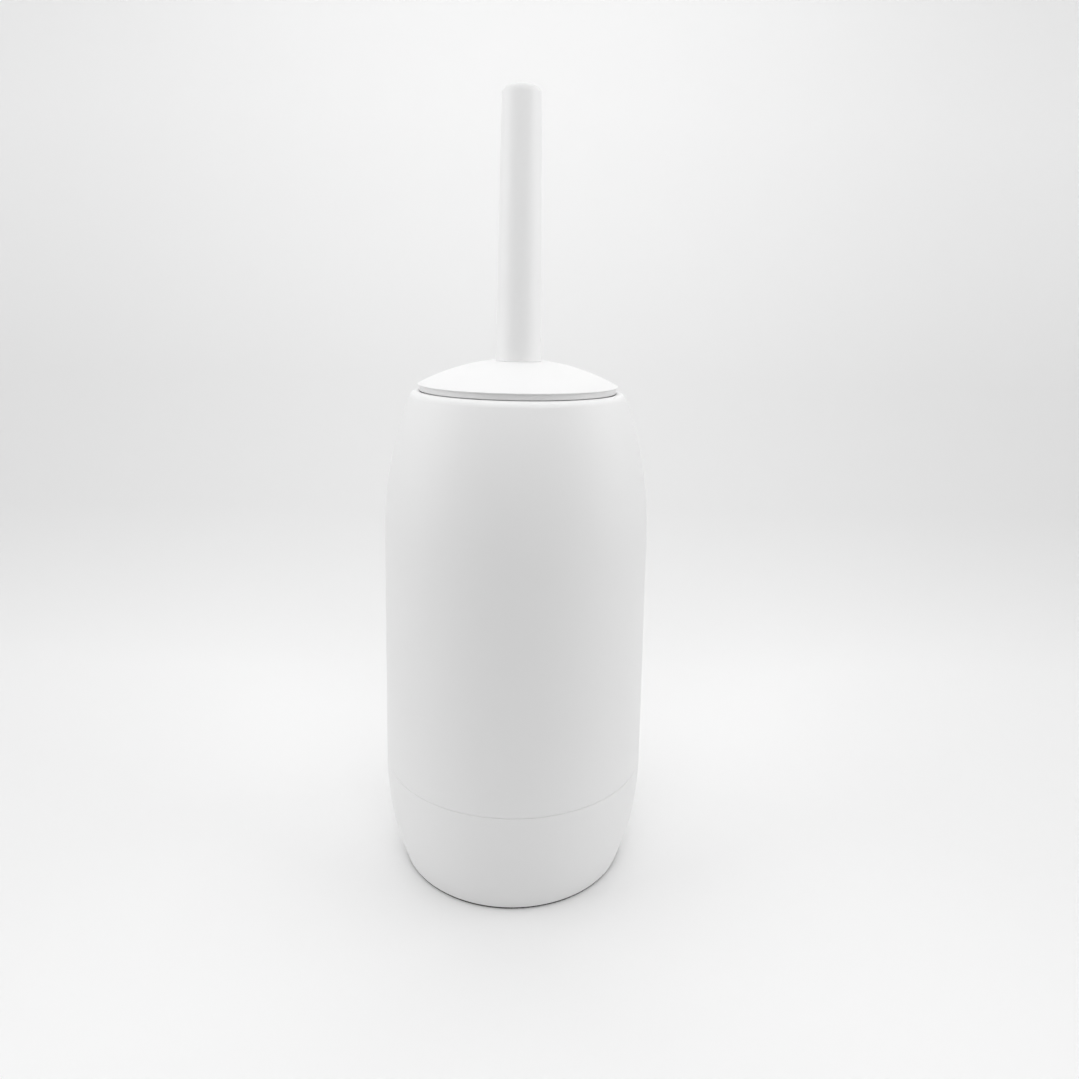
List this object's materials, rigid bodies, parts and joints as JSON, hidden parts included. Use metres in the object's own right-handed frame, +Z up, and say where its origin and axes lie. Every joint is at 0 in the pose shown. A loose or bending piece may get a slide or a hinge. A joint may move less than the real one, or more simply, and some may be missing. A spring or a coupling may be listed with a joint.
{
  "type": "toilet brush holder",
  "caption": "Barrel-shaped toilet brush holder with a lidded brush: the brush and its domed lid lift out, and the upper shell pulls off the base cup.",
  "frame": {"origin": "centre of the base on the floor", "axes": "+Z up along the holder's axis, through the mouth and along the handle; the object is round, so X and Y are any two level directions"},
  "size_m": [0.132, 0.132, 0.37],
  "materials": {
    "white_shell": "satin white moulded polypropylene",
    "white_lid": "satin white moulded polypropylene",
    "white_handle": "satin white moulded polypropylene",
    "white_core": "plain white moulded polypropylene",
    "soft_ring": "matt light grey elastomer",
    "bristle": "white nylon filaments in tufts"
  },
  "bodies": {
    "base": {"base_cup": "white_shell", "foot_ring": "soft_ring"},
    "shell": {"body_shell": "white_shell"},
    "lid": {"lid": "white_lid"},
    "brush": {"handle": "white_handle", "handle_insert": "white_core", "stem": "white_core", "stem_collar": "white_core", "brush_core": "white_core", "bristles": "bristle"}
  },
  "joints": [
    {"name": "shell_lift", "type": "slide", "parent": "base", "child": "shell", "axis": [0, 0, 1], "range_m": [0, 0.09]},
    {"name": "brush_lift", "type": "slide", "parent": "shell", "child": "lid", "axis": [0, 0, 1], "range_m": [0, 0.25]},
    {"name": "brush_spin", "type": "hinge", "parent": "lid", "child": "brush", "pos_m": [0, 0, 0.2555], "axis": [0, 0, 1], "continuous": true}
  ]
}
